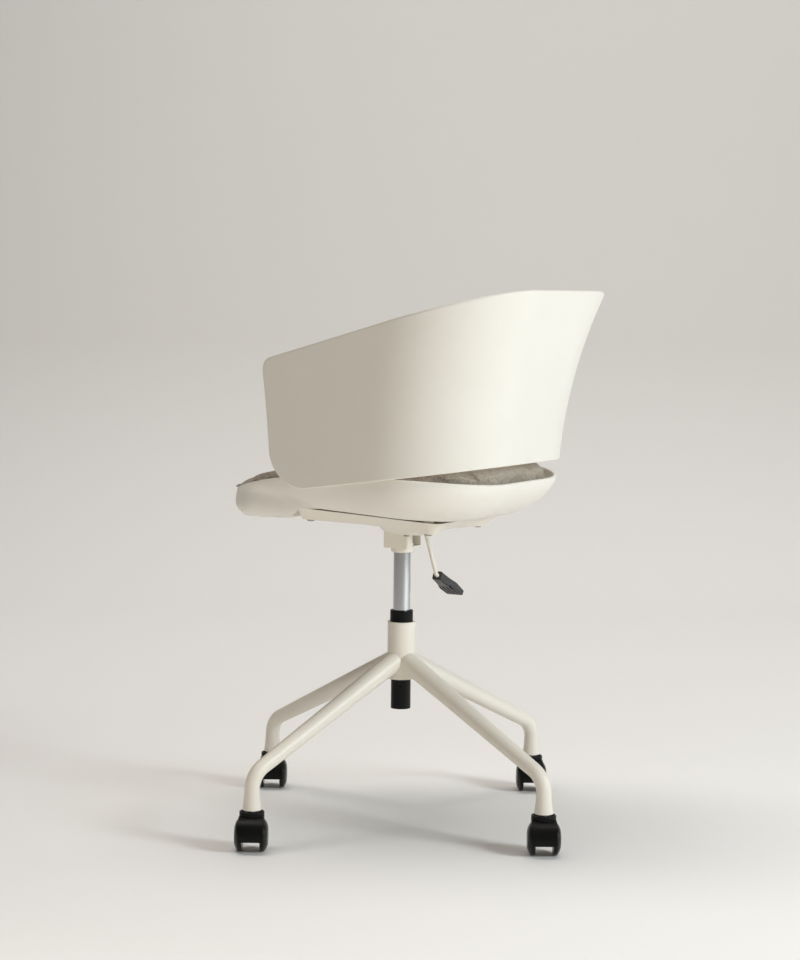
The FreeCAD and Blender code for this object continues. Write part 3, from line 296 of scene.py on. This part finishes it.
def moulded(name, light, dark, rough, pits, edge, **sockets):
    """Moulded plastic: fine spark-eroded grain and slow drift in tone and gloss."""
    finish = Finish(name, **sockets)
    finish.colour(finish.grain(per_metre=14.0, detail=3.0), dark, light)
    finish.roughness(finish.grain(per_metre=60.0, detail=4.0), *rough)
    finish.round_edges(edge)
    finish.relief(finish.grain(per_metre=1600.0), pits)
    return finish.material


def coated(name, light, dark, rough, peel, edge, **sockets):
    """Powder coat or paint: a shallow orange peel under a satin skin."""
    finish = Finish(name, **sockets)
    finish.colour(finish.grain(per_metre=9.0), dark, light)
    finish.roughness(finish.grain(per_metre=160.0, detail=3.0), *rough)
    finish.round_edges(edge)
    finish.relief(finish.grain(per_metre=520.0, detail=1.0), peel)
    return finish.material


def metal(name, light, dark, rough, scratch, stretch, edge):
    """Bare or plated metal with fine lines along its working direction."""
    finish = Finish(name, metallic=1.0)
    lines = finish.grain(per_metre=900.0, detail=4.0, roughness=0.6, stretch=stretch)
    finish.colour(finish.grain(per_metre=30.0, detail=3.0), dark, light)
    finish.roughness(lines, *rough)
    finish.round_edges(edge)
    finish.relief(lines, scratch)
    return finish.material


def woven(name, light, dark, nap):
    """Upholstery cloth: a plain weave of mixed yarns, with slubs and a soft nap."""
    finish = Finish(name, sheen_weight=0.35, sheen_roughness=0.45, specular_ior_level=0.25)
    finish.shader.inputs["Sheen Tint"].default_value = (*light, 1.0)
    warp = finish.threads(per_metre=320.0, direction="X", distortion=0.6)
    weft = finish.threads(per_metre=320.0, direction="Y", distortion=0.6)
    weave = finish.combined(warp, weft, "MULTIPLY")
    slub = finish.grain(per_metre=420.0, detail=3.0, roughness=0.7, stretch=(1.0, 0.35, 1.0))
    drift = finish.grain(per_metre=18.0)
    mottle = finish.combined(slub, finish.span(drift, low=-0.06, high=0.06))
    shade = finish.span(weave, low=-0.05, high=0.05, start=0.0, end=1.0)
    yarn = finish.combined(mottle, shade)
    finish.colour(yarn, dark, light, start=0.34, end=0.66)
    finish.roughness(finish.grain(per_metre=300.0, detail=3.0), low=0.82, high=0.97)
    finish.relief(weave, depth=0.0005, strength=0.7)
    fuzz = finish.grain(per_metre=1100.0, detail=3.0, roughness=0.7)
    finish.relief(fuzz, depth=0.00035, strength=nap)
    return finish.material


finishes = {
    "shell_plastic": moulded(
        "shell_plastic", light=(0.800, 0.765, 0.697), dark=(0.787, 0.751, 0.682),
        rough=(0.40, 0.50), pits=0.00004, edge=0.0012, specular_ior_level=0.42),
    "frame_paint": coated(
        "frame_paint", light=(0.790, 0.745, 0.660), dark=(0.775, 0.729, 0.642),
        rough=(0.34, 0.44), peel=0.00005, edge=0.0008, specular_ior_level=0.45),
    "pad_fabric": woven(
        "pad_fabric", light=(0.430, 0.387, 0.328), dark=(0.250, 0.220, 0.178), nap=0.6),
    "board_plastic": moulded(
        "board_plastic", light=(0.090, 0.085, 0.078), dark=(0.075, 0.070, 0.065),
        rough=(0.5, 0.62), pits=0.00008, edge=0.0008),
    "black_plastic": moulded(
        "black_plastic", light=(0.006, 0.006, 0.006), dark=(0.004, 0.004, 0.004),
        rough=(0.34, 0.46), pits=0.00006, edge=0.0006, specular_ior_level=0.14),
    "wheel_plastic": moulded(
        "wheel_plastic", light=(0.007, 0.007, 0.007), dark=(0.005, 0.005, 0.005),
        rough=(0.24, 0.34), pits=0.00003, edge=0.0006, specular_ior_level=0.25),
    "black_steel": coated(
        "black_steel", light=(0.006, 0.006, 0.007), dark=(0.004, 0.004, 0.005),
        rough=(0.26, 0.36), peel=0.00004, edge=0.0006, specular_ior_level=0.16),
    "chrome": metal(
        "chrome", light=(0.560, 0.565, 0.575), dark=(0.535, 0.540, 0.550),
        rough=(0.06, 0.12), scratch=0.000004, stretch=(1.0, 1.0, 0.02), edge=0.0004),
    "steel": metal(
        "steel", light=(0.560, 0.555, 0.545), dark=(0.480, 0.475, 0.465),
        rough=(0.26, 0.42), scratch=0.00002, stretch=(0.3, 0.3, 1.0), edge=0.0004),
    "screw_steel": metal(
        "screw_steel", light=(0.420, 0.405, 0.380), dark=(0.330, 0.318, 0.300),
        rough=(0.28, 0.44), scratch=0.00003, stretch=(1.0, 1.0, 0.2), edge=0.0006),
    "brass": metal(
        "brass", light=(0.640, 0.470, 0.200), dark=(0.560, 0.400, 0.160),
        rough=(0.24, 0.38), scratch=0.00002, stretch=(0.3, 0.3, 1.0), edge=0.0004),
    "rubber": moulded(
        "rubber", light=(0.020, 0.020, 0.020), dark=(0.014, 0.014, 0.014),
        rough=(0.68, 0.82), pits=0.0001, edge=0.0006),
}
for part in frame["record"]["subparts"]:
    node = frame["nodes"][part["node"]]
    node.data.materials.clear()
    node.data.materials.append(finishes[part["material_slot"]])


# Seat dish and lever grip

def out_of_core(point):
    """A point's distance from the seat's core in plan, and its direction from it."""
    across = max(abs(point.x) - NOSE_CORE_SIDE, 0.0)
    ahead = max(NOSE_CORE_FRONT - point.y, 0.0)
    offset = Vector((math.copysign(across, point.x), -ahead, 0.0))
    return offset.length, offset.normalized()


def as_seen(point):
    """Where a point of the seat's solid lies on the moulding that shows."""
    side = abs(point.x)
    reach, outward = out_of_core(point)
    depth = max(NOSE_LEVEL - point.z, 0.0)
    fullness = NOSE_SLOPE * depth + NOSE_CURVE * depth * depth
    fullness *= ease(point.y, *NOSE_ENDS) * ease(reach, *NOSE_WALL)
    slide = SKIRT_SLIDE * ease(side, *SKIRT_SIDES) * ease(point.z, *SKIRT_LEVELS)
    slide *= ease(point.y, *SKIRT_START) * ease(point.y, *SKIRT_END)
    lift = EDGE_LIFT * ease(side, *EDGE_SIDES) * ease(point.z, *EDGE_LEVELS)
    lift *= ease(point.y, *EDGE_START) * ease(point.y, *EDGE_END)
    sink = LIP_SINK * ease(side, *LIP_SIDES) * ease(point.y, *LIP_END)
    sink *= ease(point.z, *LIP_LEVELS)
    return point + outward * fullness + Vector((0.0, slide, lift - sink))


def reshaped(name, node, move, material):
    """A piece with a solid's faces and its points moved, which replaces the solid."""
    welded = bmesh.new()
    welded.from_mesh(frame["nodes"][node].data)
    bmesh.ops.remove_doubles(welded, verts=welded.verts, dist=WELD)
    welded.verts.index_update()
    points = [move(vertex.co) for vertex in welded.verts]
    faces = [[vertex.index for vertex in face.verts] for face in welded.faces]
    welded.free()
    mesh = bpy.data.meshes.new(name)
    mesh.from_pydata(points, [], faces)
    mesh.shade_smooth()
    mesh.set_sharp_from_angle(angle=SHARP_EDGE)
    mesh.materials.append(material)
    piece = place_in_scene(name, mesh)
    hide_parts(node)
    return piece


def make_dish():
    """The seat's moulding, with the nose and lower edge that the solid leaves plain."""
    piece = reshaped("seat_dish", "seat_shell", as_seen, finishes["shell_plastic"])
    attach(piece, "seat")


def make_grip():
    """The lever's grip, drawn up along its length towards the rod."""
    towards_rod = Vector((math.cos(GRIP_SLOPE), 0.0, math.sin(GRIP_SLOPE)))
    solid = frame["nodes"]["lever_paddle"].data
    neck = max(vertex.co.dot(towards_rod) for vertex in solid.vertices)

    def drawn_up(point):
        return point + towards_rod * GRIP_CUT * (neck - point.dot(towards_rod))

    material = moulded(
        "grip_plastic", light=(0.034, 0.034, 0.034), dark=(0.026, 0.026, 0.026),
        rough=(0.30, 0.42), pits=0.00006, edge=0.0006)
    piece = reshaped("lever_grip", "lever_paddle", drawn_up, material)
    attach(piece, "lever")


# Cushion

def apply_all(piece):
    """Make a piece's modifiers part of its mesh."""
    ready = piece.evaluated_get(bpy.context.evaluated_depsgraph_get())
    mesh = bpy.data.meshes.new_from_object(ready)
    piece.modifiers.clear()
    piece.data = mesh


def even_cover(solid):
    """A closed cover with an even mesh, soft edges and room to swell inside its solid."""
    piece = place_in_scene("seat_cushion", solid.data.copy())
    remesh = piece.modifiers.new("even", "REMESH")
    remesh.mode = "VOXEL"
    remesh.voxel_size = COVER_VOXEL
    smooth = piece.modifiers.new("soften", "SMOOTH")
    smooth.factor = SOFTEN_FACTOR
    smooth.iterations = SOFTEN_PASSES
    shrink = piece.modifiers.new("shrink", "DISPLACE")
    shrink.strength = -COVER_SHRINK
    shrink.mid_level = 0.0
    apply_all(piece)
    return piece


def swell(piece):
    """Let air pressure fill a cover whose underside is held, with each point's travel capped."""
    scene = bpy.context.scene
    start = [vertex.co.copy() for vertex in piece.data.vertices]
    held_below = min(point.z for point in start) + HELD_BAND
    held = piece.vertex_groups.new(name="held")
    under = [vertex.index for vertex in piece.data.vertices
             if vertex.normal.z < LOOKS_DOWN or vertex.co.z < held_below]
    held.add(under, 1.0, "REPLACE")
    cloth = piece.modifiers.new("cover", "CLOTH")
    cloth.settings.quality = CLOTH_QUALITY
    cloth.settings.tension_stiffness = CLOTH_STIFFNESS
    cloth.settings.compression_stiffness = CLOTH_STIFFNESS
    cloth.settings.bending_stiffness = CLOTH_BENDING
    cloth.settings.shrink_min = -COVER_SLACK
    cloth.settings.use_pressure = True
    cloth.settings.uniform_pressure_force = COVER_PRESSURE
    cloth.settings.vertex_group_mass = "held"
    cloth.settings.effector_weights.gravity = 0.0
    cloth.point_cache.frame_start = 1
    cloth.point_cache.frame_end = COVER_FRAMES
    for moment in range(1, COVER_FRAMES + 1):
        scene.frame_set(moment)
    apply_all(piece)
    scene.frame_set(1)
    for vertex, before in zip(piece.data.vertices, start):
        moved = vertex.co - before
        if moved.length > COVER_CAP:
            vertex.co = before + moved.normalized() * COVER_CAP


def ripple(piece):
    """Make a cover a little uneven."""
    for vertex in piece.data.vertices:
        height = sum(noise.noise(vertex.co * fineness) * depth for fineness, depth in RIPPLES)
        vertex.co += vertex.normal * height


def keep_inside(piece, solid):
    """Hold a cover to its solid's space: flush at the sides, a little proud on top."""
    tree = BVHTree.FromPolygons([vertex.co for vertex in solid.data.vertices],
                                [polygon.vertices for polygon in solid.data.polygons])
    for vertex in piece.data.vertices:
        nearest, facing, _, _ = tree.find_nearest(vertex.co)
        limit = COVER_PROUD if facing.z > LOOKS_UP else -COVER_CLEAR
        beyond = (vertex.co - nearest).dot(facing) - limit
        if beyond > 0:
            vertex.co -= facing * beyond


def rim_level(along):
    """Height of the rim's top at the nose, which rises towards the back."""
    return RIM_FRONT_LEVEL + RIM_SLOPE * (along - RIM_FRONT)


def meet_rim(piece):
    """Draw a cover's edge over the rim at the nose, and its low front out and down to it."""
    for vertex in piece.data.vertices:
        reach, outward = out_of_core(vertex.co)
        rise = vertex.co.z - rim_level(vertex.co.y)
        at_wall = ease(reach, *NOSE_WALL)
        over = OVERHANG * ease(vertex.co.y, *OVERHANG_ENDS) * at_wall * ease(rise, *OVERHANG_RISE)
        low = ease(vertex.co.y, *FRONT_ENDS) * at_wall * ease(rise, *FRONT_RISE)
        over += FRONT_FILL * low * ease(-outward.y, *FRONT_TURN)
        vertex.co += outward * over - Vector((0.0, 0.0, FRONT_DROP * low))


def make_cushion():
    """The seat's upholstery: cloth swelled over the pad, soft at its edges and a little uneven."""
    solid = frame["nodes"]["seat_pad"]
    piece = even_cover(solid)
    swell(piece)
    ripple(piece)
    keep_inside(piece, solid)
    meet_rim(piece)
    fine = piece.modifiers.new("fine", "SUBSURF")
    fine.levels = 1
    fine.render_levels = 1
    apply_all(piece)
    piece.data.shade_smooth()
    piece.data.materials.clear()
    piece.data.materials.append(finishes["pad_fabric"])
    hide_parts("seat_pad")
    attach(piece, "seat")


# Studio

def make_stage():
    """A pale floor that curves up into a wall behind the chair, its colour darkened with height as
    painted shade.
    """
    profile = [(FLOOR_FRONT, 0.0)]
    for i in range(CURVE_STEPS + 1):
        turn = math.pi / 2 * i / CURVE_STEPS
        near = -WALL_BEHIND + WALL_CURVE * (1 - math.sin(turn))
        profile.append((near, WALL_CURVE * (1 - math.cos(turn))))
    profile.append((-WALL_BEHIND, WALL_HEIGHT))
    points = []
    for near, height in profile:
        points += [in_view(side * STAGE_WIDTH / 2, near, height) for side in (-1, 1)]
    faces = [(2 * i, 2 * i + 1, 2 * i + 3, 2 * i + 2) for i in range(len(profile) - 1)]
    mesh = bpy.data.meshes.new("backdrop")
    mesh.from_pydata(points, [], faces)
    mesh.shade_smooth()
    finish = Finish("backdrop", specular_ior_level=0.2)
    # Painted shade: the colour goes from the floor's tint to the darker wall tint as the height
    # rises to a set level
    height = finish.add("ShaderNodeSeparateXYZ", Vector=finish.place).outputs["Z"]
    rise = finish.span(height, low=0.0, high=1.0, start=0.0, end=WALL_SHADE_HEIGHT)
    drift = finish.span(finish.grain(per_metre=0.6), -TINT_DRIFT, TINT_DRIFT)
    finish.colour(finish.combined(rise, drift), FLOOR_TINT, WALL_SHADE_TINT, start=0.0, end=1.0)
    finish.roughness(finish.grain(per_metre=40.0, detail=3.0), low=0.62, high=0.75)
    mesh.materials.append(finish.material)
    backdrop = place_in_scene("backdrop", mesh)


def soft_light(name, place, aim, size, power, tint, mirrored=True):
    """A softbox turned to a point in the view, which shiny pieces mirror or not."""
    lamp = bpy.data.lights.new(name, "AREA")
    lamp.shape = "RECTANGLE"
    lamp.size, lamp.size_y = size
    lamp.energy = power
    lamp.color = tint
    start = in_view(*place)
    holder = place_in_scene(name, lamp)
    holder.location = start
    holder.visible_glossy = mirrored
    holder.rotation_euler = (in_view(*aim) - start).to_track_quat("-Z", "Y").to_euler()


def make_light():
    """The softboxes, in a dim warm room."""
    for name, softbox in SOFTBOXES.items():
        soft_light(name, **softbox)
    world = bpy.data.worlds.new("room")
    world.use_nodes = True
    ground = world.node_tree.nodes["Background"]
    ground.inputs["Color"].default_value = ROOM_TINT
    ground.inputs["Strength"].default_value = ROOM_STRENGTH
    bpy.context.scene.world = world


def make_camera():
    """The camera behind the sitter's left shoulder, level with the back's top."""
    lens = bpy.data.cameras.new("camera")
    lens.lens = CAMERA_LENS
    lens.sensor_width = CAMERA_SENSOR
    lens.sensor_fit = "AUTO"
    back = Matrix.Rotation(math.radians(CAMERA_YAW), 3, "Z") @ to_camera
    right = up.cross(back)
    pitched = Matrix.Rotation(math.radians(-CAMERA_PITCH), 3, right) @ back
    top = pitched.cross(right)
    turn = Matrix((right, top, pitched)).transposed()
    turn = turn @ Matrix.Rotation(math.radians(CAMERA_ROLL), 3, "Z")
    place = to_camera * CAMERA_DISTANCE + up * CAMERA_HEIGHT
    view = place_in_scene("camera", lens)
    view.matrix_world = Matrix.LocRotScale(place, turn, None)
    bpy.context.scene.camera = view


make_dish()
make_grip()
make_cushion()
make_stage()
make_light()
make_camera()
bpy.context.scene.view_settings.view_transform = "Standard"
